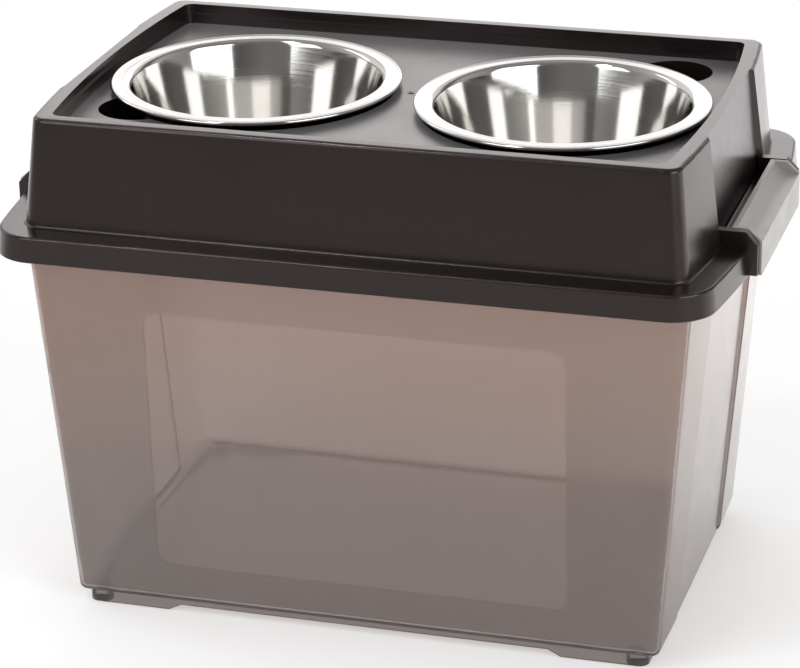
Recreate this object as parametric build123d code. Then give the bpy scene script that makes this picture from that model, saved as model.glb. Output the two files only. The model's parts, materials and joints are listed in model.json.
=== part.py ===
from build123d import *
import os

# Raised dog feeder on a storage tub. X runs along the long side to the right, Y to the back, Z up.
# The origin is on the floor under the middle of the tub. All sizes are in millimetres.

# ---- Heights above the floor ----
TOTAL_HEIGHT = 406.5
PAD_STAND_OUT = 0.8                  # how far the rubber pads stand out below the feet
SKIRT_BOTTOM = 6.0                   # lower edge of the base skirt between the feet
TUB_UNDERSIDE = 9.5
FLANGE_BOTTOM = 302.5
FLANGE_TOP = 322.8
TUB_TOP = 316.5
TRAY_TOP = TOTAL_HEIGHT - 16.0
LEDGE_HEIGHT = TOTAL_HEIGHT - 8.0    # small step half way up the rim's inner wall
BOWL_RIM_TOP = 398.2
WELL_FLOOR = 318.0

# ---- Plan outlines: half length at the middle of the end, half width, bow of the end, corner ----
BOW_REACH = 150.0                    # the bow of an end is stated at this distance from its middle
LID_FOOT = dict(half_length=268.2, half_width=171.3, bow=10.6, corner=14.5)
LID_HEAD = dict(half_length=257.0, half_width=162.7, bow=8.5, corner=11.5)
FLANGE_LOW = dict(half_length=289.4, half_width=194.8, bow=10.0, corner=35.0)
FLANGE_HIGH = dict(half_length=287.4, half_width=193.6, bow=10.0, corner=34.0)
RIM_MOUTH = dict(half_length=244.5, half_width=151.7, bow=9.5, corner=8.0)
TUB_FOOT = dict(half_length=236.6, half_width=150.7, bow=1.5, corner=8.0)
TUB_HEAD = dict(half_length=264.0, half_width=164.5, bow=4.8, corner=10.5)
TUB_RIM = dict(half_length=283.0, half_width=189.4, bow=10.0, corner=30.0)
SKIRT = dict(half_length=227.8, half_width=148.9, bow=1.0, corner=8.0)
GASKET_LINE = dict(half_length=274.0, half_width=176.5, bow=9.0, corner=26.0)

# ---- Walls, ribs and edge roundings ----
LID_WALL = 2.8
TUB_WALL = 2.5
SKIRT_WALL = 2.6
LEDGE_WIDTH = 1.5
RIM_PLATE = 2.5                      # thickness of the tub's flat rim
RIM_EDGE_WALL = 2.2
RIM_EDGE_BOTTOM = FLANGE_BOTTOM + 1.6
GASKET_WIDTH = 6.0
GASKET_RIB = 1.4
GASKET_RIB_DEPTH = 1.8
LID_TOP_ROUNDING = 3.6
LID_FOOT_ROUNDING = 2.0
FLANGE_TOP_ROUNDING = 2.2
FLANGE_BOTTOM_ROUNDING = 1.2
TUB_BASE_ROUNDING = 5.0
TUB_FLOOR_ROUNDING = 4.0
TUB_RIM_ROUNDING = 1.5
SKIRT_OVERLAP = 2.0                  # the skirt runs this far up into the tub's floor

# ---- Recessed panels on the ends ----
PANEL_HALF_WIDTH = 83.0
PANEL_REACH = 30.0                   # how far the cutter runs outwards, past the wall
PANEL_SIDE_SLOPE = 1.25              # the recess widens by this much for each millimetre outwards
LID_PANEL_LOW = 259.8                # the panel's distance from the middle, at the flange's top
LID_PANEL_HIGH = 251.5               # and at the rim's top
LID_PANEL_BACKING = 5.0              # how much further in the space behind the panel stops
TUB_PANEL_LOW = 234.0
TUB_PANEL_HIGH = 258.6

# ---- Bowls, wells and finger notches ----
BOWL_SPACING = 246.6
BOWL_RADIUS = 114.3
BOWL_GAUGE = 1.0
BOWL_NECK_RADIUS = 99.4              # where the flat rim turns down into the wall
BOWL_FLOOR_RADIUS = 80.9             # where the straight wall would meet the floor
BOWL_BASE_RADIUS = 58.0              # the raised middle of the floor
BOWL_BASE_RISE = 1.2
BOWL_FLOOR_CORNER = 12.0
BOWL_NECK_CHAMFER = 2.0
BOWL_ROLL_RADIUS = 1.6
WELL_RADIUS = 110.4
WELL_FLOOR_RADIUS = 86.5
WELL_FLOOR_CORNER = 8.0
WELL_WALL = 2.4
NOTCH_RADIUS = 29.5
NOTCH_FLOOR = 362.0
NOTCH_CORNER = 5.0
NOTCH_CENTRES = ((-196.0, -74.0), (187.0, 112.0))

# ---- Latches and their ears ----
EAR_INNER = 80.3                     # distance of an ear's inner face from the middle of the end
EAR_THICKNESS = 7.8
EAR_REACH = 292.0
EAR_TOP = 336.4
EAR_CHAMFER_START = 282.8
EAR_CHAMFER_END = 326.6
EAR_ROUNDING = 0.8
HINGE_X = 273.0
HINGE_Z = 329.6
BARREL_RADIUS = 3.6
TRUNNION_RADIUS = 2.5
TRUNNION_LENGTH = 4.4
TRUNNION_CLEARANCE = 0.05
TRUNNION_END_GAP = 0.4
LATCH_HALF_WIDTH = 79.7
LATCH_REACH = 293.6
LATCH_TOP = 335.9
LATCH_BOTTOM = 299.6
LATCH_SHOULDER = (283.6, 327.0)      # the scoop's low line, as X and Z
LATCH_WALL = 3.0
LATCH_BORDER = 3.6
HOOK_HALF_WIDTH = 32.0
HOOK_TIP_X = 280.2
GUSSET_TIP_X = 285.2
GUSSET_HEIGHT = 12.0
GUSSET_HALF = 1.0
BAY_START = 285.0                    # the bay for the latch begins here, outside the box's foot

# ---- Window in the tub's front wall ----
WINDOW_HALF_LENGTH = 165.0
WINDOW_TOP = 258.0
WINDOW_BOTTOM = 42.0
WINDOW_CORNER = 12.0
WINDOW_DEPTH = 0.4

# ---- Feet ----
FOOT_START_X = 161.0
FOOT_START_Y = 96.0
FOOT_RAMP = 12.0
PAD_X = 217.0
PAD_Y = 140.4
PAD_RADIUS = 6.0
PAD_THICKNESS = 3.0
PAD_CHAMFER = 0.4
PAD_BOSS_RADIUS = 8.0

ON_BASE = (Align.CENTER, Align.CENTER, Align.MIN)
ON_ITS_SIDE = (Align.MIN, Align.CENTER, Align.MIN)


# ---- Outlines ----

def blend(low, high, share):
    """Plan sizes part of the way from one outline to another."""
    return {name: low[name] + (high[name] - low[name]) * share for name in low}


def at_height(low, high, z_low, z_high, z):
    return blend(low, high, (z - z_low) / (z_high - z_low))


def inset(sizes, by):
    """The same outline, further in all round."""
    return dict(half_length=sizes["half_length"] - by, half_width=sizes["half_width"] - by,
                bow=sizes["bow"], corner=max(sizes["corner"] - by, 2.0))


def outline(sizes, z):
    """Plan outline with straight long sides, ends that bow outwards, and round corners."""
    half_width = sizes["half_width"]
    middle_x = sizes["half_length"]
    side_x = middle_x - sizes["bow"] * (half_width / BOW_REACH) ** 2
    edges = [
        Line((-side_x, -half_width), (side_x, -half_width)),
        ThreePointArc((side_x, -half_width), (middle_x, 0), (side_x, half_width)),
        Line((side_x, half_width), (-side_x, half_width)),
        ThreePointArc((-side_x, half_width), (-middle_x, 0), (-side_x, -half_width)),
    ]
    face = make_face(edges)
    return Pos(0, 0, z) * fillet(face.vertices(), sizes["corner"])


def straight_block(sizes, z_low, z_high):
    return extrude(outline(sizes, z_low), z_high - z_low)


def drafted_block(low, high, z_low, z_high):
    """Block whose outline changes evenly from its foot to its head."""
    return loft([outline(low, z_low), outline(high, z_high)], ruled=True)


def edges_at(part, z):
    """The edges that lie flat at one height."""
    def is_there(edge):
        box = edge.bounding_box()
        return abs(box.min.Z - z) < 0.05 and abs(box.max.Z - z) < 0.05

    return part.edges().filter_by(is_there)


def edges_within(edges, sizes):
    """Those of the edges that stay inside an outline's box."""
    def is_within(edge):
        box = edge.bounding_box()
        length = max(-box.min.X, box.max.X)
        width = max(-box.min.Y, box.max.Y)
        return length < sizes["half_length"] + 0.1 and width < sizes["half_width"] + 0.1

    return edges.filter_by(is_within)


def both_ends(part):
    return part + mirror(part, about=Plane.YZ)


def panel_recess(x_low, x_high, z_low, z_high, deeper=0.0):
    """Cutter for the flat panel on the right end, with sloping sides."""
    half_width = PANEL_HALF_WIDTH + deeper
    wide = half_width + PANEL_REACH * PANEL_SIDE_SLOPE

    def section(x, z):
        start = x - deeper
        end = start + PANEL_REACH
        corners = [(start, -half_width), (end, -wide), (end, wide), (start, half_width)]
        return Pos(0, 0, z) * make_face(Polyline(*corners, close=True))

    return loft([section(x_low, z_low), section(x_high, z_high)], ruled=True)


def revolve_profile(points):
    """Solid of revolution about Z, from (radius, height) points."""
    return revolve(Plane.XZ * make_face(Polyline(*points, close=True)), axis=Axis.Z)


# ---- Storage tub ----

def tub_outside(z_low, z_high, by=0.0):
    """The tub's wall, all round and solid, between two heights."""
    low = at_height(TUB_FOOT, TUB_HEAD, TUB_UNDERSIDE, TUB_TOP, z_low)
    high = at_height(TUB_FOOT, TUB_HEAD, TUB_UNDERSIDE, TUB_TOP, z_high)
    return drafted_block(inset(low, by), inset(high, by), z_low, z_high)


def tub_panels(deeper=0.0):
    return both_ends(panel_recess(TUB_PANEL_LOW, TUB_PANEL_HIGH, TUB_UNDERSIDE - 1.0,
                                  FLANGE_BOTTOM + 1.0, deeper))


def tub_inside():
    floor = TUB_UNDERSIDE + TUB_WALL
    inside = tub_outside(floor, TUB_TOP, TUB_WALL) - tub_panels(TUB_WALL)
    return fillet(edges_at(inside, floor), TUB_FLOOR_ROUNDING)


def tub_rim():
    """Flat rim with a turned-down edge, which the latches hook under."""
    rim = straight_block(TUB_RIM, RIM_EDGE_BOTTOM, TUB_TOP)
    rim = fillet(edges_at(rim, TUB_TOP), TUB_RIM_ROUNDING)
    return rim - straight_block(inset(TUB_RIM, RIM_EDGE_WALL), RIM_EDGE_BOTTOM, TUB_TOP - RIM_PLATE)


def tub_window():
    """Shallow polished panel in the front wall."""
    skin = tub_outside(TUB_UNDERSIDE, TUB_TOP) - tub_outside(TUB_UNDERSIDE, TUB_TOP, WINDOW_DEPTH)
    height = WINDOW_TOP - WINDOW_BOTTOM
    shape = RectangleRounded(2 * WINDOW_HALF_LENGTH, height, WINDOW_CORNER)
    middle = WINDOW_BOTTOM + height / 2
    return skin & extrude(Pos(0, 0, middle) * (Plane.XZ * shape), TUB_RIM["half_width"])


def gap_between_feet(start, plane):
    """Cutter under the skirt between two feet, with a ramp at each end."""
    low, high = PAD_STAND_OUT - 1.0, SKIRT_BOTTOM
    corners = [(-start, low), (start, low), (start - FOOT_RAMP, high), (FOOT_RAMP - start, high)]
    return extrude(plane * make_face(Polyline(*corners, close=True)), TUB_RIM["half_length"], both=True)


def pad_places():
    return [(side * PAD_X, end * PAD_Y) for side in (-1, 1) for end in (-1, 1)]


def base_skirt():
    """Low skirt under the base, deeper at the corners, with a boss for each rubber pad."""
    top = TUB_UNDERSIDE + SKIRT_OVERLAP
    skirt = straight_block(SKIRT, PAD_STAND_OUT, top)
    skirt -= straight_block(inset(SKIRT, SKIRT_WALL), PAD_STAND_OUT, top)
    skirt -= gap_between_feet(FOOT_START_X, Plane.XZ)
    skirt -= gap_between_feet(FOOT_START_Y, Plane.YZ)
    boss = Cylinder(PAD_BOSS_RADIUS, top - PAD_STAND_OUT, align=ON_BASE)
    socket = Cylinder(PAD_RADIUS, PAD_THICKNESS - PAD_STAND_OUT, align=ON_BASE)
    for x, y in pad_places():
        skirt += Pos(x, y, PAD_STAND_OUT) * boss
        skirt -= Pos(x, y, PAD_STAND_OUT) * socket
    return skirt


def storage_tub():
    outside = tub_outside(TUB_UNDERSIDE, TUB_TOP)
    outside = fillet(edges_at(outside, TUB_UNDERSIDE), TUB_BASE_ROUNDING)
    outside -= tub_panels()
    return outside + tub_rim() - tub_inside() - tub_window() + base_skirt()


def foot_pad(x, y):
    pad = Cylinder(PAD_RADIUS, PAD_THICKNESS, align=ON_BASE)
    return Pos(x, y, 0) * chamfer(edges_at(pad, 0.0), PAD_CHAMFER)


# ---- Lid ----

def lid_block(by=0.0, z_low=FLANGE_TOP, z_high=TOTAL_HEIGHT):
    """The raised box of the lid, solid, between two heights."""
    low = at_height(LID_FOOT, LID_HEAD, FLANGE_TOP, TOTAL_HEIGHT, z_low)
    high = at_height(LID_FOOT, LID_HEAD, FLANGE_TOP, TOTAL_HEIGHT, z_high)
    return drafted_block(inset(low, by), inset(high, by), z_low, z_high)


def lid_panels(bottom, deeper=0.0):
    """Cutter for the recesses in the box's ends, from a given height up past the rim."""
    slope = (LID_PANEL_HIGH - LID_PANEL_LOW) / (TOTAL_HEIGHT - FLANGE_TOP)
    top = TOTAL_HEIGHT + 1.0
    x_low = LID_PANEL_LOW + slope * (bottom - FLANGE_TOP)
    return both_ends(panel_recess(x_low, LID_PANEL_HIGH + slope, bottom, top, deeper))


def lid_shell():
    """Outer faces of the box and flange, with the space under them."""
    box = fillet(edges_at(lid_block(), TOTAL_HEIGHT), LID_TOP_ROUNDING)
    box -= lid_panels(FLANGE_TOP)
    flange = drafted_block(FLANGE_LOW, FLANGE_HIGH, FLANGE_BOTTOM, FLANGE_TOP)
    flange = fillet(edges_at(flange, FLANGE_TOP), FLANGE_TOP_ROUNDING)
    flange = fillet(edges_at(flange, FLANGE_BOTTOM), FLANGE_BOTTOM_ROUNDING)
    shell = box + flange
    shell = fillet(edges_within(edges_at(shell, FLANGE_TOP), LID_FOOT), LID_FOOT_ROUNDING)
    under_box = lid_block(LID_WALL, FLANGE_BOTTOM, TOTAL_HEIGHT - LID_WALL)
    under_box -= lid_panels(FLANGE_BOTTOM, LID_PANEL_BACKING)
    under_flange = drafted_block(inset(FLANGE_LOW, LID_WALL), inset(FLANGE_HIGH, LID_WALL),
                                 FLANGE_BOTTOM, FLANGE_TOP - LID_WALL)
    return shell - under_box - under_flange


def rim_pocket():
    """Space above the tray, inside the rim, with the small step on its wall."""
    upper = straight_block(RIM_MOUTH, LEDGE_HEIGHT, TOTAL_HEIGHT)
    return upper + straight_block(inset(RIM_MOUTH, LEDGE_WIDTH), TRAY_TOP, LEDGE_HEIGHT)


def tray_blank():
    """The tray and the rim's inner wall, still solid."""
    return straight_block(inset(RIM_MOUTH, -LID_WALL), TRAY_TOP - LID_WALL, TOTAL_HEIGHT - 1.0)


def well(radius_by=0.0, floor_by=0.0):
    """Body of revolution of one bowl well, as a solid plug."""
    floor = WELL_FLOOR - floor_by
    mouth = WELL_RADIUS + radius_by
    return revolve_profile([
        (0, floor),
        (WELL_FLOOR_RADIUS - WELL_FLOOR_CORNER + radius_by, floor),
        (WELL_FLOOR_RADIUS + radius_by, floor + WELL_FLOOR_CORNER),
        (mouth - 6.0, TRAY_TOP - 12.0),
        (mouth, TRAY_TOP - 3.0),
        (mouth, TRAY_TOP),
        (0, TRAY_TOP),
    ])


def notch(radius_by=0.0, floor_by=0.0):
    """Round pocket beside a bowl, for the finger that lifts it."""
    radius = NOTCH_RADIUS + radius_by
    floor = NOTCH_FLOOR - floor_by
    return revolve_profile([
        (0, floor),
        (radius - NOTCH_CORNER, floor),
        (radius, floor + NOTCH_CORNER),
        (radius, TRAY_TOP),
        (0, TRAY_TOP),
    ])


def wells(radius_by=0.0, floor_by=0.0):
    plugs = Part()
    for x in (-BOWL_SPACING / 2, BOWL_SPACING / 2):
        plugs += Pos(x, 0, 0) * well(radius_by, floor_by)
    for x, y in NOTCH_CENTRES:
        plugs += Pos(x, y, 0) * notch(radius_by, floor_by)
    return plugs


def gasket_ribs():
    """Two low ribs under the flange that hold the seal between them."""
    top = FLANGE_TOP - LID_WALL
    bottom = top - GASKET_RIB_DEPTH
    half = GASKET_WIDTH / 2
    ribs = Part()
    for inner in (half, -half - GASKET_RIB):
        ring = straight_block(inset(GASKET_LINE, -inner - GASKET_RIB), bottom, top)
        ribs += ring - straight_block(inset(GASKET_LINE, -inner), bottom, top)
    return ribs


def ear_profile():
    """Side view of an ear: flat on top, chamfered outwards, and down over the flange's edge."""
    start = LID_FOOT["half_length"] - 8.0
    skirt_inside = FLANGE_LOW["half_length"] - 6.4
    return make_face(Polyline(
        (start, FLANGE_TOP - 1.0), (start, EAR_TOP), (EAR_CHAMFER_START, EAR_TOP),
        (EAR_REACH, EAR_CHAMFER_END), (EAR_REACH, FLANGE_BOTTOM), (skirt_inside, FLANGE_BOTTOM),
        (skirt_inside, FLANGE_TOP - 1.0), close=True))


def ear_pair():
    """Two ears that carry the right latch, with blind bores for its trunnions."""
    outer_face = EAR_INNER + EAR_THICKNESS
    depth = TRUNNION_LENGTH + TRUNNION_END_GAP
    bore = Cylinder(TRUNNION_RADIUS + TRUNNION_CLEARANCE, depth, rotation=(90, 0, 0))
    ears = Part()
    for side in (-1, 1):
        ear = Pos(0, side * EAR_INNER, 0) * extrude(Plane.XZ * ear_profile(), -side * EAR_THICKNESS)
        outer_edges = ear.edges().filter_by(lambda edge: abs(abs(edge.center().Y) - outer_face) < 0.01)
        ear = fillet(outer_edges, EAR_ROUNDING)
        ears += ear - Pos(HINGE_X, side * (EAR_INNER + depth / 2), HINGE_Z) * bore
    return ears


def latch_bay():
    """Cut through the skirt between the ears, so that the hook can reach the tub's rim."""
    width = 2 * EAR_INNER
    bottom = FLANGE_BOTTOM - 1.0
    outer = Box(20.0, width, FLANGE_TOP + 1.0 - bottom, align=ON_ITS_SIDE)
    inner = Box(6.0, width, FLANGE_TOP - LID_WALL - bottom, align=ON_ITS_SIDE)
    return Pos(BAY_START, 0, bottom) * outer + Pos(BAY_START - 4.0, 0, bottom) * inner


def lid():
    shell = lid_shell()
    shell += tray_blank()
    shell += wells(WELL_WALL, WELL_WALL)
    shell -= rim_pocket()
    shell -= wells()
    shell += gasket_ribs()
    shell -= both_ends(latch_bay())
    shell += both_ends(ear_pair())
    return shell


def lid_gasket():
    half = GASKET_WIDTH / 2
    top = FLANGE_TOP - LID_WALL
    ring = straight_block(inset(GASKET_LINE, -half), TUB_TOP, top)
    return ring - straight_block(inset(GASKET_LINE, half), TUB_TOP, top)


# ---- Bowls ----

def bowl(x):
    """Pressed bowl: sheet of even gauge with a straight wall, a flat rim and a rolled edge."""
    base = WELL_FLOOR + BOWL_GAUGE / 2
    rim = BOWL_RIM_TOP - BOWL_GAUGE / 2
    raised = base + BOWL_BASE_RISE
    roll_centre = (BOWL_RADIUS - BOWL_ROLL_RADIUS, BOWL_RIM_TOP - BOWL_ROLL_RADIUS)
    sheet = Polyline(
        (0, raised), (BOWL_BASE_RADIUS - 4.0, raised), (BOWL_BASE_RADIUS, base),
        (BOWL_FLOOR_RADIUS - BOWL_FLOOR_CORNER, base), (BOWL_FLOOR_RADIUS - 3.0, base + 2.4),
        (BOWL_FLOOR_RADIUS + 3.0, base + BOWL_FLOOR_CORNER),
        (BOWL_NECK_RADIUS, rim - BOWL_NECK_CHAMFER), (BOWL_NECK_RADIUS + BOWL_NECK_CHAMFER, rim),
        roll_centre)
    section = make_face(offset(sheet, BOWL_GAUGE / 2, kind=Kind.INTERSECTION, side=Side.BOTH))
    section += Pos(*roll_centre) * RegularPolygon(BOWL_ROLL_RADIUS, 8, major_radius=False, rotation=22.5)
    section &= Pos(BOWL_RADIUS, rim) * Rectangle(2 * BOWL_RADIUS, 4 * BOWL_RADIUS)
    return Pos(x, 0, 0) * revolve(Plane.XZ * section, axis=Axis.Z)


# ---- Latches ----

def strip(profile, y_from, y_to):
    """Profile in the XZ plane, carried along Y."""
    return Pos(0, y_from, 0) * extrude(Plane.XZ * profile, y_from - y_to)


def latch_end_profile():
    """Full section, for the raised border at each end."""
    back = HINGE_X - 2.2
    inside = LATCH_REACH - LATCH_WALL - 4.0
    shoulder_x, shoulder_z = LATCH_SHOULDER
    return make_face(Polyline(
        (back, HINGE_Z), (back, LATCH_TOP), (shoulder_x, LATCH_TOP), (LATCH_REACH, shoulder_z),
        (LATCH_REACH, LATCH_BOTTOM), (inside, LATCH_BOTTOM), (inside, HINGE_Z - 6.0),
        (HINGE_X, HINGE_Z - 2.0), close=True))


def latch_middle_profile():
    """Section between the ends: a lip at the back, the scoop, and the wall hanging down."""
    back = HINGE_X - 2.2
    lip = back + LATCH_BORDER
    inside = LATCH_REACH - LATCH_WALL
    shoulder_x, shoulder_z = LATCH_SHOULDER
    scoop_start = (lip + 0.8, LATCH_TOP - 3.2)
    scoop_low = (shoulder_x - 1.0, shoulder_z + 1.2)
    scoop_end = (LATCH_REACH, shoulder_z - 0.6)
    under_end = (inside, shoulder_z - LATCH_WALL)
    under_low = (shoulder_x - 1.0, shoulder_z - 1.6)
    under_start = (lip, LATCH_TOP - 6.6)
    return make_face([
        Polyline((back, HINGE_Z), (back, LATCH_TOP), (lip, LATCH_TOP), scoop_start),
        ThreePointArc(scoop_start, scoop_low, scoop_end),
        Polyline(scoop_end, (LATCH_REACH, LATCH_BOTTOM), (inside, LATCH_BOTTOM), under_end),
        ThreePointArc(under_end, under_low, under_start),
        Line(under_start, (back, HINGE_Z)),
    ])


def latch_hook():
    """Hook that catches under the tub's rim, with three gussets behind it."""
    top = LATCH_BOTTOM + 3.0
    root = LATCH_REACH - 1.0
    section = make_face(Polyline(
        (root, LATCH_BOTTOM), (HOOK_TIP_X + 1.2, LATCH_BOTTOM), (HOOK_TIP_X, LATCH_BOTTOM + 1.2),
        (HOOK_TIP_X, top), (root, top), close=True))
    hook = strip(section, -HOOK_HALF_WIDTH, HOOK_HALF_WIDTH)
    inside = LATCH_REACH - LATCH_WALL
    gusset = make_face(Polyline(
        (inside + 1.0, top - 1.0), (GUSSET_TIP_X, top - 1.0), (GUSSET_TIP_X, top + 1.0),
        (inside, LATCH_BOTTOM + GUSSET_HEIGHT), (inside + 1.0, LATCH_BOTTOM + GUSSET_HEIGHT), close=True))
    for y in (-HOOK_HALF_WIDTH + GUSSET_HALF, 0.0, HOOK_HALF_WIDTH - GUSSET_HALF):
        hook += strip(gusset, y - GUSSET_HALF, y + GUSSET_HALF)
    return hook


def latch_right():
    """Scooped grip bar with a hinge barrel, two trunnions and a hook."""
    half = LATCH_HALF_WIDTH
    border = half - LATCH_BORDER
    end = latch_end_profile()
    body = strip(latch_middle_profile(), -border, border)
    body += strip(end, -half, -border) + strip(end, border, half)
    lower_corners = body.edges().filter_by(Axis.X).filter_by(
        lambda edge: abs(edge.center().Z - LATCH_BOTTOM) < 0.01 and abs(edge.center().Y) > half - 0.01)
    body = fillet(lower_corners, 3.0)
    hinge_line = Pos(HINGE_X, 0, HINGE_Z)
    body += hinge_line * Cylinder(BARREL_RADIUS, 2 * half, rotation=(90, 0, 0))
    body += hinge_line * Cylinder(TRUNNION_RADIUS, 2 * (EAR_INNER + TRUNNION_LENGTH), rotation=(90, 0, 0))
    return body + latch_hook()


def latch_left():
    return mirror(latch_right(), about=Plane.YZ)


SOLIDS = {
    "storage_tub": storage_tub,
    "lid": lid,
    "lid_gasket": lid_gasket,
    "bowl_left": lambda: bowl(-BOWL_SPACING / 2),
    "bowl_right": lambda: bowl(BOWL_SPACING / 2),
    "latch_left": latch_left,
    "latch_right": latch_right,
    "foot_pad_front_left": lambda: foot_pad(-PAD_X, -PAD_Y),
    "foot_pad_front_right": lambda: foot_pad(PAD_X, -PAD_Y),
    "foot_pad_back_left": lambda: foot_pad(-PAD_X, PAD_Y),
    "foot_pad_back_right": lambda: foot_pad(PAD_X, PAD_Y),
}

os.makedirs("parts", exist_ok=True)
for name, make in SOLIDS.items():
    solid = make()
    print(name, "solids", len(solid.solids()), "volume", round(solid.volume), "valid", solid.is_valid)
    export_step(solid, f"parts/{name}.step")
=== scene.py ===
import json
from math import cos, pi, radians, sin, tan

import bmesh
import bpy
from mathutils import Matrix, Vector

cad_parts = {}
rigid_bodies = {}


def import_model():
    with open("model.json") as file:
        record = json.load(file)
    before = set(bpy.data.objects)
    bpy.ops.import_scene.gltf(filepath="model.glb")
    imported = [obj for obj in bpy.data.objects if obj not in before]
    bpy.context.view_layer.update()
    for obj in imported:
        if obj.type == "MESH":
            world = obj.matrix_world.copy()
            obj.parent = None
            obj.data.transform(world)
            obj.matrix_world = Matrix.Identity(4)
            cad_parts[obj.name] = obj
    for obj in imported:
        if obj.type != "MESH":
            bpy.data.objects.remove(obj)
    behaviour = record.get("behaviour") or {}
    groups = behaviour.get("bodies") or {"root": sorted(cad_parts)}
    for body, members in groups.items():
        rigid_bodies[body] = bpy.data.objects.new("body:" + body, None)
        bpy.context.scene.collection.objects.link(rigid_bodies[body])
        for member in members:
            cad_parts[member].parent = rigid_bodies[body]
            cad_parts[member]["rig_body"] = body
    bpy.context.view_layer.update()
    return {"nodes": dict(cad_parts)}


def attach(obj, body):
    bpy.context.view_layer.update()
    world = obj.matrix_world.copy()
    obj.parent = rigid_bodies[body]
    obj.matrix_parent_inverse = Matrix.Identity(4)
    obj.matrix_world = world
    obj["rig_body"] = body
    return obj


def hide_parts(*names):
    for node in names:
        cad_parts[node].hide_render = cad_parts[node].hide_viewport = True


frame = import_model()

MM = 0.001

# ---- Camera: place in metres, angles in radians, focal length in photograph pixels ----
CAMERA_PLACE = (0.6903, -2.3326, 1.1828)
CAMERA_YAW = 0.2915
CAMERA_PITCH = 0.3864
CAMERA_ROLL = -0.0165
FOCAL_PIXELS = 3298.5
PHOTO_WIDTH = 800
SENSOR_WIDTH = 36.0
CLIP_END = 200.0

# ---- Bowls, in millimetres ----
BOWL_SPACING = 246.6
BOWL_RADIUS = 114.3
BOWL_RIM_TOP = 398.2
BOWL_FLOOR = 318.0
BOWL_GAUGE = 1.0
BOWL_BASE_RISE = 1.2
BOWL_FLOOR_RADIUS = 80.9            # where the straight wall would meet the floor
BOWL_FLOOR_CORNER = 12.0
BOWL_WALL_LEAN = 13.2               # degrees from upright
BOWL_NECK_CORNER = 5.0
BOWL_ROLL = 1.6
BOWL_STEPS = 192                    # faces round the axis
BOWL_WELD = 1e-6                    # metres
RIM_PAINTED_SHADE_RADIUS = 101.0             # the rim band's painted shade and rougher finish start here
RIM_PAINTED_SHADE_UPRIGHT = 0.9              # least Z of a normal on the rim band
# Shares of the wall's height with a ring of points. The ones by its ends keep the shading even.
BOWL_WALL_RINGS = (0.008, 0.03, 0.2, 0.5, 0.8, 0.97, 0.992)

# ---- Tub: the polished window in its front wall, painted shade on its floor and a painted reflection low on its walls, in millimetres ----
WINDOW_HALF_LENGTH = 165.0
WINDOW_TOP = 258.0
WINDOW_BOTTOM = 42.0
WINDOW_CORNER = 12.0
WINDOW_BEHIND = -140.0              # the window's tint stays in front of this Y
# Painted shade: below this height the tub's colour is darkened, as shade from the table under it.
FLOOR_PAINTED_SHADE_TOP = 14.5
FLOOR_PAINTED_SHADE_FADE = 1.0
# Painted reflection: between these heights the tub's colour goes from greyer, where the white table is
# reflected, to browner.
PAINTED_REFLECTION_BOTTOM = 40.0
PAINTED_REFLECTION_TOP = 260.0

# ---- Lid, in millimetres ----
TRAY_TOP = 390.5
TRAY_FLAT = 0.98                    # least Z of a normal on the tray's floor
GATE_X = -1.0
GATE_Y = 12.0
GATE_RADIUS = 2.6
GATE_SINK = 0.2
GATE_HEIGHT = 0.6
# Steps of the gate mark from its edge to its dimple, as (inset, rise)
GATE_STEPS = ((0.5, 0.12), (0.7, 0.0), (0.3, -0.35))

# ---- Shading of the pieces that keep the frame's shape ----
FACET_WELD = 2e-6                   # metres
SHARP_ANGLE = radians(32)

# ---- Finishes ----
PLASTIC_IOR = 1.5
BLUR_SPREAD = 1.25                  # a finish's roughest places against its smoothest
STEEL_LINE_STRETCH = (0.05, 0.05, 5.0)

# ---- Studio: strengths of the room and the table, where 1 is white ----
FLOOR_GLOW = 0.42
FLOOR_GLOW_IN_PAINTED_SHADOW = 0.8          # share of the glow left under the tub, as painted shadow
# Painted light on the table behind the object, seen only in reflections.
FLOOR_PAINTED_LIGHT_BEHIND = 0.9
FLOOR_RADIUS = 40.0                 # metres
FLOOR_DROP = 0.0002                 # metres below the pads
ROOM_FRONT = 0.2
ROOM_BACK = 0.95
ROOM_RIGHT = 0.5
ROOM_OVERHEAD = 0.6
ROOM_GAP = 0.35                     # the dark place at the back right
ROOM_GAP_BEARING = 51.0             # degrees from +X


# ---- Shader helpers ----

def new_material(name):
    material = bpy.data.materials.new(name)
    material.use_nodes = True
    material.node_tree.nodes.clear()
    output = material.node_tree.nodes.new("ShaderNodeOutputMaterial")
    return material, material.node_tree, output


def add_node(tree, kind, **values):
    node = tree.nodes.new(kind)
    for name, value in values.items():
        if name in node.inputs:
            node.inputs[name].default_value = value
        else:
            setattr(node, name, value)
    return node


def plastic_shader(tree):
    return add_node(tree, "ShaderNodeBsdfPrincipled", IOR=PLASTIC_IOR)


def coordinates(tree, kind="Object"):
    """X, Y and Z of the piece's own coordinates, or of the direction in a world."""
    place = add_node(tree, "ShaderNodeTexCoord")
    split = add_node(tree, "ShaderNodeSeparateXYZ")
    tree.links.new(place.outputs[kind], split.inputs["Vector"])
    return [split.outputs[axis] for axis in "XYZ"]


def object_noise(tree, scale, detail=3.0, roughness=0.5, stretch=(1, 1, 1)):
    """Noise on the piece's own coordinates; scale is in cycles per metre."""
    place = add_node(tree, "ShaderNodeTexCoord")
    turn = add_node(tree, "ShaderNodeMapping")
    turn.inputs["Scale"].default_value = stretch
    noise = add_node(tree, "ShaderNodeTexNoise", Scale=scale, Detail=detail, Roughness=roughness)
    tree.links.new(place.outputs["Object"], turn.inputs["Vector"])
    tree.links.new(turn.outputs["Vector"], noise.inputs["Vector"])
    return noise.outputs["Fac"]


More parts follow.
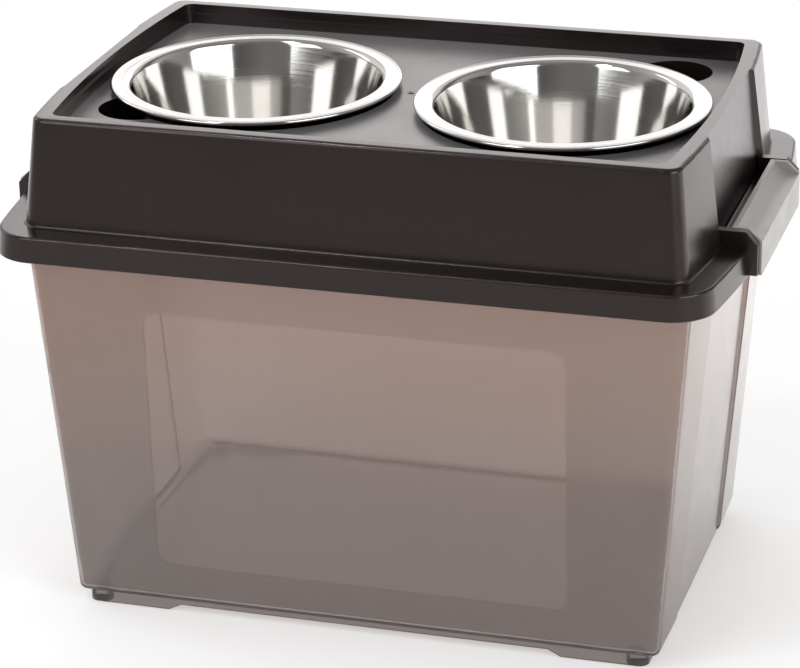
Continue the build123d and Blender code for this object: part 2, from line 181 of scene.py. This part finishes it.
def between(tree, value, start, end, low, high):
    """Value from start to end, carried into the range from low to high."""
    ranged = add_node(tree, "ShaderNodeMapRange")
    ranged.inputs["From Min"].default_value = start
    ranged.inputs["From Max"].default_value = end
    ranged.inputs["To Min"].default_value = low
    ranged.inputs["To Max"].default_value = high
    tree.links.new(value, ranged.inputs["Value"])
    return ranged.outputs["Result"]


def spread(tree, noise, low, high):
    """Noise, which stays mostly between 0.3 and 0.7, carried into the range from low to high."""
    return between(tree, noise, 0.3, 0.7, low, high)


def calculate(tree, operation, *values):
    """Arithmetic on one or two values, each an output of a node or a number."""
    result = add_node(tree, "ShaderNodeMath", operation=operation)
    for socket, value in zip(result.inputs, values):
        if isinstance(value, (int, float)):
            socket.default_value = value
        else:
            tree.links.new(value, socket)
    return result.outputs["Value"]


def colour_between(tree, value, low, high):
    """Colour from low, where the value is 0.3 or less, to high, where it is 0.7 or more."""
    ramp = add_node(tree, "ShaderNodeValToRGB")
    ramp.color_ramp.elements[0].position = 0.3
    ramp.color_ramp.elements[0].color = (*low, 1)
    ramp.color_ramp.elements[1].position = 0.7
    ramp.color_ramp.elements[1].color = (*high, 1)
    tree.links.new(value, ramp.inputs["Fac"])
    return ramp.outputs["Color"]


def grain(tree, shader, height, distance):
    bump = add_node(tree, "ShaderNodeBump", Strength=1.0, Distance=distance)
    tree.links.new(height, bump.inputs["Height"])
    tree.links.new(bump.outputs["Normal"], shader.inputs["Normal"])


def seen_directly(tree):
    """1 where the camera sees the surface, straight or through the tub."""
    path = add_node(tree, "ShaderNodeLightPath")
    return calculate(tree, "MAXIMUM", path.outputs["Is Camera Ray"], path.outputs["Is Transmission Ray"])


def mixed(tree, share, first, second):
    mix = add_node(tree, "ShaderNodeMixShader")
    tree.links.new(share, mix.inputs["Fac"])
    tree.links.new(first, mix.inputs[1])
    tree.links.new(second, mix.inputs[2])
    return mix.outputs["Shader"]


# ---- Materials ----

def satin_black(name, blur, gloss, sheen):
    """Lid: warm black polypropylene with a fine mould grain."""
    material, tree, output = new_material(name)
    shader = plastic_shader(tree)
    shader.inputs["Specular IOR Level"].default_value = gloss
    shader.inputs["Specular Tint"].default_value = (1.0, 0.84, 0.83, 1)
    shader.inputs["Sheen Weight"].default_value = sheen
    shader.inputs["Sheen Roughness"].default_value = 0.35
    tint = colour_between(tree, object_noise(tree, 9.0), (0.012, 0.0085, 0.008), (0.016, 0.0115, 0.011))
    tree.links.new(tint, shader.inputs["Base Color"])
    roughness = spread(tree, object_noise(tree, 26.0), blur, blur * BLUR_SPREAD)
    tree.links.new(roughness, shader.inputs["Roughness"])
    grain(tree, shader, object_noise(tree, 1400.0, 2.0), 0.00003)
    tree.links.new(shader.outputs["BSDF"], output.inputs["Surface"])
    return material


def window_mask(tree, x, y, z):
    """1 inside the window's rounded outline on the front wall."""
    middle = (WINDOW_TOP + WINDOW_BOTTOM) / 2 * MM
    half_height = (WINDOW_TOP - WINDOW_BOTTOM) / 2 * MM
    corner = WINDOW_CORNER * MM
    past_side = calculate(tree, "SUBTRACT", calculate(tree, "ABSOLUTE", x), WINDOW_HALF_LENGTH * MM - corner)
    from_middle = calculate(tree, "ABSOLUTE", calculate(tree, "SUBTRACT", z, middle))
    past_edge = calculate(tree, "SUBTRACT", from_middle, half_height - corner)
    across = calculate(tree, "POWER", calculate(tree, "MAXIMUM", past_side, 0), 2)
    upward = calculate(tree, "POWER", calculate(tree, "MAXIMUM", past_edge, 0), 2)
    outside = calculate(tree, "SQRT", calculate(tree, "ADD", across, upward))
    in_outline = calculate(tree, "LESS_THAN", outside, corner)
    in_front = calculate(tree, "LESS_THAN", y, WINDOW_BEHIND * MM)
    return calculate(tree, "MULTIPLY", in_outline, in_front)


def smoke_plastic():
    """Tub: smoke polypropylene, frosted, with a polished window in the front, painted shade that darkens its
    floor and a painted reflection that greys its lower walls.

    Most of the light passes, tinted and softened by the wall. Shadow rays and diffuse rays pass
    straight through, so that the inside is lit.
    """
    material, tree, output = new_material("smoke_plastic")
    body = plastic_shader(tree)
    body.inputs["Transmission Weight"].default_value = 0.82
    x, y, z = coordinates(tree)
    in_window = window_mask(tree, x, y, z)
    # Painted shade: 1 at the tub's floor, where its colour is darkened.
    in_painted_floor_shade = between(tree, z, FLOOR_PAINTED_SHADE_TOP * MM, (FLOOR_PAINTED_SHADE_TOP - FLOOR_PAINTED_SHADE_FADE) * MM, 0.0, 1.0)

    # Painted reflection: greyer towards the bottom of the tub, as the reflection of the white table, and
    # browner towards the top.
    height = between(tree, z, PAINTED_REFLECTION_BOTTOM * MM, PAINTED_REFLECTION_TOP * MM, 0.25, 0.75)
    cloud = spread(tree, object_noise(tree, 5.0, 2.0), -0.05, 0.05)
    greyer_painted_reflection = (0.495, 0.45, 0.44)
    browner = (0.51, 0.405, 0.362)
    colour = colour_between(tree, calculate(tree, "ADD", height, cloud), greyer_painted_reflection, browner)
    clearer = calculate(tree, "MULTIPLY", in_window, 0.15)
    # Painted shade: the floor's colour is a third darker.
    darker = calculate(tree, "MULTIPLY", in_painted_floor_shade, -0.34)
    depth = calculate(tree, "ADD", calculate(tree, "ADD", clearer, darker), 1.0)
    tint = add_node(tree, "ShaderNodeVectorMath", operation="SCALE")
    tree.links.new(colour, tint.inputs["Vector"])
    tree.links.new(depth, tint.inputs["Scale"])
    tree.links.new(tint.outputs["Vector"], body.inputs["Base Color"])

    frost = spread(tree, object_noise(tree, 40.0), 0.15, 0.19)
    unpolished = calculate(tree, "SUBTRACT", 1.0, calculate(tree, "MULTIPLY", in_window, 0.9))
    tree.links.new(calculate(tree, "MULTIPLY", frost, unpolished), body.inputs["Roughness"])

    passed = add_node(tree, "ShaderNodeBsdfTransparent")
    passed.inputs["Color"].default_value = (0.73, 0.67, 0.64, 1)
    path = add_node(tree, "ShaderNodeLightPath")
    light = calculate(tree, "MAXIMUM", path.outputs["Is Shadow Ray"], path.outputs["Is Diffuse Ray"])
    wall = mixed(tree, light, body.outputs["BSDF"], passed.outputs["BSDF"])
    tree.links.new(wall, output.inputs["Surface"])
    return material


def polished_steel(name, dark, bright, blur):
    """Bowls: bright stainless steel with faint lines from polishing round the axis."""
    material, tree, output = new_material(name)
    shader = add_node(tree, "ShaderNodeBsdfPrincipled", Metallic=1.0)
    tint = colour_between(tree, object_noise(tree, 30.0), dark, bright)
    tree.links.new(tint, shader.inputs["Base Color"])
    lines = object_noise(tree, 300.0, 3.0, 0.6, STEEL_LINE_STRETCH)
    tree.links.new(spread(tree, lines, blur, blur + 0.08), shader.inputs["Roughness"])
    grain(tree, shader, lines, 0.00001)
    tree.links.new(shader.outputs["BSDF"], output.inputs["Surface"])
    return material


def grey_satin():
    """Latches: warm light grey moulding."""
    material, tree, output = new_material("warm_grey_plastic")
    shader = plastic_shader(tree)
    tint = colour_between(tree, object_noise(tree, 18.0), (0.385, 0.365, 0.34), (0.435, 0.41, 0.385))
    tree.links.new(tint, shader.inputs["Base Color"])
    tree.links.new(spread(tree, object_noise(tree, 70.0), 0.3, 0.38), shader.inputs["Roughness"])
    grain(tree, shader, object_noise(tree, 1600.0, 2.0), 0.00003)
    tree.links.new(shader.outputs["BSDF"], output.inputs["Surface"])
    return material


def soft_rubber(name, dark, pale):
    """Foot pads and lid seal: dull rubber or foam with a fine open grain."""
    material, tree, output = new_material(name)
    shader = plastic_shader(tree)
    tint = colour_between(tree, object_noise(tree, 120.0), dark, pale)
    tree.links.new(tint, shader.inputs["Base Color"])
    tree.links.new(spread(tree, object_noise(tree, 200.0), 0.6, 0.75), shader.inputs["Roughness"])
    grain(tree, shader, object_noise(tree, 900.0), 0.00006)
    tree.links.new(shader.outputs["BSDF"], output.inputs["Surface"])
    return material


# ---- Pieces ----

def new_object(form, name, materials):
    """Object of the finished form, at the origin."""
    mesh = bpy.data.meshes.new(name)
    form.to_mesh(mesh)
    form.free()
    for material in materials:
        mesh.materials.append(material)
    piece = bpy.data.objects.new(name, mesh)
    bpy.context.scene.collection.objects.link(piece)
    return piece


def smooth_piece(node, name, materials):
    """The node's own shape with its facets joined, so that its fillets shade smoothly."""
    source = frame["nodes"][node]
    form = bmesh.new()
    form.from_mesh(source.data)
    bmesh.ops.remove_doubles(form, verts=form.verts, dist=FACET_WELD)
    for face in form.faces:
        face.smooth = True
        face.material_index = 0
    for edge in form.edges:
        edge.smooth = edge.is_manifold and edge.calc_face_angle(pi) < SHARP_ANGLE
    piece = new_object(form, name, materials)
    weighted = piece.modifiers.new("even_shading", "WEIGHTED_NORMAL")
    weighted.keep_sharp = True
    weighted.weight = 100
    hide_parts(node)
    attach(piece, source["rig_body"])
    return piece


def lid_piece(walls, tray):
    """Lid moulding, with the tray's flat floor in its own finish."""
    lid = smooth_piece("lid", "lid_moulding", [walls, tray])
    for face in lid.data.polygons:
        on_floor = abs(face.center.z / MM - TRAY_TOP) < 0.3
        if on_floor and face.normal.z > TRAY_FLAT:
            face.material_index = 1


def gate_mark(black):
    """Mark that the mould's gate leaves between the bowls: a low ring round a small dimple."""
    form = bmesh.new()
    bmesh.ops.create_circle(form, cap_ends=True, segments=48, radius=GATE_RADIUS * MM)
    place = Vector((GATE_X, GATE_Y, TRAY_TOP - GATE_SINK)) * MM
    bmesh.ops.translate(form, verts=form.verts, vec=place)
    raised = bmesh.ops.extrude_face_region(form, geom=list(form.faces))["geom"]
    top = [part for part in raised if isinstance(part, bmesh.types.BMFace)][0]
    bmesh.ops.translate(form, verts=top.verts, vec=(0, 0, GATE_HEIGHT * MM))
    for inset, rise in GATE_STEPS:
        bmesh.ops.inset_individual(form, faces=[top], thickness=inset * MM, depth=rise * MM)
    bmesh.ops.recalc_face_normals(form, faces=form.faces)
    piece = new_object(form, "lid_gate_mark", [black])
    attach(piece, "lid")


def arc(centre, radius, start, end, steps):
    """Points on an arc, as (radius, height); the angles are in degrees."""
    turns = [radians(start + (end - start) * step / steps) for step in range(steps + 1)]
    return [(centre[0] + radius * cos(turn), centre[1] + radius * sin(turn)) for turn in turns]


def bowl_profile():
    """Middle line of the bowl's sheet, from its axis to the rolled edge, as (radius, height)."""
    base = BOWL_FLOOR + BOWL_GAUGE / 2
    rim = BOWL_RIM_TOP - BOWL_GAUGE / 2
    raised = base + BOWL_BASE_RISE
    lean = radians(BOWL_WALL_LEAN)
    corner = BOWL_FLOOR_CORNER
    neck = BOWL_NECK_CORNER
    corner_share = (1 - sin(lean)) / cos(lean)
    corner_x = BOWL_FLOOR_RADIUS - corner * corner_share
    neck_x = BOWL_FLOOR_RADIUS + (rim - base) * tan(lean) + neck * corner_share

    floor = [(0, raised), (20, raised), (40, raised), (52, raised), (54, raised), (55, raised - 0.1),
             (56, raised - 0.6), (57, base + 0.1), (58, base), (60, base)]
    floor_corner = arc((corner_x, base + corner), corner, -90, -BOWL_WALL_LEAN, 12)
    neck_corner = arc((neck_x, rim - neck), neck, 180 - BOWL_WALL_LEAN, 88, 10)
    low, high = floor_corner[-1], neck_corner[0]
    wall = [(low[0] + (high[0] - low[0]) * share, low[1] + (high[1] - low[1]) * share)
            for share in BOWL_WALL_RINGS]
    last = neck_corner[-1]
    rim_flat = [(last[0] + 0.3, last[1]), (last[0] + 1.0, last[1] - 0.08),
                (111.0, rim - 0.85), (112.0, rim - 0.95)]
    return floor + floor_corner + wall + neck_corner + rim_flat


def bowl_section():
    """Both faces of the sheet and the rolled edge between them, as (radius, height)."""
    line = bowl_profile()
    half = BOWL_GAUGE / 2
    inner = []
    outer = []
    for index, (radius, height) in enumerate(line):
        before = line[max(index - 1, 0)]
        after = line[min(index + 1, len(line) - 1)]
        along = Vector((after[0] - before[0], after[1] - before[1])).normalized()
        inner.append((radius - along.y * half, height + along.x * half))
        outer.append((radius + along.y * half, height - along.x * half))
    inner[0] = (0, line[0][1] + half)
    outer[0] = (0, line[0][1] - half)
    bead = arc((BOWL_RADIUS - BOWL_ROLL, BOWL_RIM_TOP - BOWL_ROLL), BOWL_ROLL, 115, -150, 18)
    return inner[:-1] + bead + outer[-2::-1]


def bowl_piece(name, x, body, steel, rim):
    """Pressed bowl, turned from its section. Its upward rim band takes a rougher finish with painted shade in
    its colour.
    """
    form = bmesh.new()
    verts = [form.verts.new((radius * MM, 0, height * MM)) for radius, height in bowl_section()]
    edges = [form.edges.new(pair) for pair in zip(verts, verts[1:])]
    bmesh.ops.spin(form, geom=verts + edges, cent=(0, 0, 0), axis=(0, 0, 1), dvec=(0, 0, 0),
                   angle=2 * pi, steps=BOWL_STEPS, use_merge=True)
    bmesh.ops.remove_doubles(form, verts=form.verts, dist=BOWL_WELD)
    bmesh.ops.recalc_face_normals(form, faces=form.faces)
    bmesh.ops.translate(form, verts=form.verts, vec=(x * MM, 0, 0))
    for face in form.faces:
        face.smooth = True
    piece = new_object(form, name, [steel, rim])
    # Painted shade: the upward faces of the rim band take the darker steel.
    for face in piece.data.polygons:
        from_axis = Vector((face.center.x / MM - x, face.center.y / MM)).length
        if from_axis > RIM_PAINTED_SHADE_RADIUS and face.normal.z > RIM_PAINTED_SHADE_UPRIGHT:
            face.material_index = 1
    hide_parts(body)
    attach(piece, body)


# ---- Studio ----

def table_surface():
    """White table. It glows a little where it is seen directly, with a painted shadow where that glow is dimmed
    under the tub, and painted light behind the object that only reflections see.
    """
    material, tree, output = new_material("studio_white_painted_light_and_shadow")
    matt = add_node(tree, "ShaderNodeBsdfDiffuse")
    matt.inputs["Color"].default_value = (0.80, 0.80, 0.80, 1)
    glow = add_node(tree, "ShaderNodeEmission")
    path = add_node(tree, "ShaderNodeLightPath")
    x, y, _ = coordinates(tree)
    # Painted light: the table glows brighter towards the back, for glossy rays only.
    behind = between(tree, y, -0.3, 0.6, 0.0, FLOOR_PAINTED_LIGHT_BEHIND)
    painted_shine_behind = calculate(tree, "MULTIPLY", behind, path.outputs["Is Glossy Ray"])
    # Painted shadow: the table's glow is dimmed under the tub.
    along = between(tree, calculate(tree, "ABSOLUTE", x), 0.19, 0.29, FLOOR_GLOW_IN_PAINTED_SHADOW, 1.0)
    across = between(tree, calculate(tree, "ABSOLUTE", y), 0.11, 0.21, FLOOR_GLOW_IN_PAINTED_SHADOW, 1.0)
    outside_painted_shadow = calculate(tree, "MAXIMUM", along, across)
    seen = calculate(tree, "MULTIPLY", calculate(tree, "MULTIPLY", seen_directly(tree), outside_painted_shadow), FLOOR_GLOW)
    tree.links.new(calculate(tree, "ADD", painted_shine_behind, seen), glow.inputs["Strength"])
    both = add_node(tree, "ShaderNodeAddShader")
    tree.links.new(matt.outputs["BSDF"], both.inputs[0])
    tree.links.new(glow.outputs["Emission"], both.inputs[1])
    side = add_node(tree, "ShaderNodeNewGeometry")
    clear = add_node(tree, "ShaderNodeBsdfTransparent")
    table = mixed(tree, side.outputs["Backfacing"], both.outputs["Shader"], clear.outputs["BSDF"])
    tree.links.new(table, output.inputs["Surface"])
    return material


def studio_floor():
    """Round table top, clear from below."""
    form = bmesh.new()
    bmesh.ops.create_circle(form, cap_ends=True, segments=64, radius=FLOOR_RADIUS)
    bmesh.ops.translate(form, verts=form.verts, vec=(0, 0, -FLOOR_DROP))
    new_object(form, "studio_floor", [table_surface()])


def studio_world():
    """Pale room behind a white background. It is darker on the camera's side and overhead."""
    world = bpy.data.worlds.new("studio")
    bpy.context.scene.world = world
    world.use_nodes = True
    tree = world.node_tree
    tree.nodes.clear()
    output = tree.nodes.new("ShaderNodeOutputWorld")
    x, y, z = coordinates(tree, "Generated")
    to_back = between(tree, y, -0.8, 0.5, ROOM_FRONT, ROOM_BACK)
    to_left = between(tree, x, 0.2, 0.6, 1.0, ROOM_RIGHT)
    bearing = calculate(tree, "ARCTAN2", y, x)
    from_gap = calculate(tree, "ABSOLUTE", calculate(tree, "SUBTRACT", bearing, radians(ROOM_GAP_BEARING)))
    gap = between(tree, from_gap, radians(7), radians(13), ROOM_GAP, 1.0)
    overhead = between(tree, z, 0.6, 0.85, 1.0, ROOM_OVERHEAD)
    sides = calculate(tree, "MULTIPLY", to_left, gap)
    level = calculate(tree, "MULTIPLY", calculate(tree, "MULTIPLY", to_back, sides), overhead)
    room = add_node(tree, "ShaderNodeBackground")
    room.inputs["Color"].default_value = (1.0, 0.99, 0.98, 1)
    tree.links.new(level, room.inputs["Strength"])
    white = add_node(tree, "ShaderNodeBackground", Strength=1.0)
    white.inputs["Color"].default_value = (1, 1, 1, 1)
    around = mixed(tree, seen_directly(tree), room.outputs["Background"], white.outputs["Background"])
    tree.links.new(around, output.inputs["Surface"])


def hang_lamp(name, size, radiance, colour, location, rotation):
    """Area lamp of the given size in metres; a radiance of 1 is white."""
    lamp = bpy.data.lights.new(name, "AREA")
    lamp.shape = "RECTANGLE"
    lamp.size, lamp.size_y = size
    lamp.energy = radiance * pi * size[0] * size[1]
    lamp.color = colour
    holder = bpy.data.objects.new(name, lamp)
    holder.location = location
    holder.rotation_euler = rotation
    holder.visible_camera = False
    bpy.context.scene.collection.objects.link(holder)


def upright_softbox(name, bearing, half_angle, low, high, distance, radiance, colour=(1, 1, 1)):
    """Upright lamp. Its bearing and half angle are seen from the object, in degrees."""
    width = 2 * distance * tan(radians(half_angle))
    turn = radians(bearing)
    hang_lamp(name, (width, high - low), radiance, colour,
              (distance * cos(turn), distance * sin(turn), (low + high) / 2), (pi / 2, 0, turn + pi / 2))


def tilted_softbox(name, bearing, elevation, width, distance, radiance, target_height=0.3):
    """Small square lamp, turned to the object from the given bearing and elevation in degrees."""
    turn = radians(bearing)
    rise = radians(elevation)
    away = distance * cos(rise)
    hang_lamp(name, (width, width), radiance, (1, 1, 1),
              (away * cos(turn), away * sin(turn), distance * sin(rise) + target_height),
              (pi / 2 - rise, 0, turn + pi / 2))


def studio_lamps():
    """Softboxes behind the object, at its left, on both sides of the camera and over it."""
    upright_softbox("back_softbox", bearing=103.0, half_angle=18.0, low=0.55, high=3.1,
                    distance=3.0, radiance=1.15, colour=(1.0, 0.985, 0.99))
    upright_softbox("left_softbox", bearing=165.0, half_angle=5.0, low=0.9, high=3.0,
                    distance=2.6, radiance=2.4)
    upright_softbox("left_front_softbox", bearing=-122.0, half_angle=15.0, low=0.76, high=3.0,
                    distance=2.6, radiance=2.4, colour=(0.97, 0.985, 1.0))
    upright_softbox("right_front_softbox", bearing=-29.0, half_angle=21.0, low=0.3, high=2.9,
                    distance=2.6, radiance=2.5)
    tilted_softbox("overhead_softbox", bearing=-127.0, elevation=60.0, width=0.3,
                   distance=2.4, radiance=22.0)


def studio_camera():
    lens = bpy.data.cameras.new("photo_camera")
    lens.sensor_width = SENSOR_WIDTH
    lens.lens = FOCAL_PIXELS / PHOTO_WIDTH * SENSOR_WIDTH
    lens.clip_end = CLIP_END
    camera = bpy.data.objects.new("photo_camera", lens)
    bpy.context.scene.collection.objects.link(camera)
    camera.matrix_world = (Matrix.Translation(CAMERA_PLACE)
                           @ Matrix.Rotation(CAMERA_YAW, 4, "Z")
                           @ Matrix.Rotation(pi / 2 - CAMERA_PITCH, 4, "X")
                           @ Matrix.Rotation(CAMERA_ROLL, 4, "Z"))
    bpy.context.scene.camera = camera


# ---- Build ----

lid_material = satin_black("satin_black_plastic", blur=0.20, gloss=0.62, sheen=0.0)
tray_material = satin_black("satin_black_tray", blur=0.28, gloss=0.95, sheen=0.9)
tub_material = smoke_plastic()
steel_material = polished_steel("polished_stainless", (0.64, 0.625, 0.605), (0.67, 0.655, 0.635), blur=0.05)
# Painted shade: the rim's steel is darker than the bowl's, with a rougher finish.
rim_painted_shade_steel = polished_steel("rim_stainless_painted_shade", (0.42, 0.41, 0.40), (0.45, 0.44, 0.43), blur=0.16)
latch_material = grey_satin()
pad_material = soft_rubber("pad_rubber", (0.018, 0.018, 0.018), (0.03, 0.03, 0.03))
gasket_material = soft_rubber("gasket_foam", (0.10, 0.10, 0.10), (0.14, 0.14, 0.14))

smooth_piece("storage_tub", "tub_wall", [tub_material])
lid_piece(lid_material, tray_material)
gate_mark(lid_material)
smooth_piece("lid_gasket", "lid_seal", [gasket_material])
smooth_piece("latch_left", "latch_grip_left", [latch_material])
smooth_piece("latch_right", "latch_grip_right", [latch_material])
bowl_piece("steel_bowl_left", -BOWL_SPACING / 2, "bowl_left", steel_material, rim_painted_shade_steel)
bowl_piece("steel_bowl_right", BOWL_SPACING / 2, "bowl_right", steel_material, rim_painted_shade_steel)
for node in frame["nodes"]:
    if node.startswith("foot_pad"):
        smooth_piece(node, node.replace("foot_pad", "rubber_pad"), [pad_material])

studio_floor()
studio_world()
studio_lamps()
studio_camera()

scene = bpy.context.scene
scene.view_settings.view_transform = "Standard"
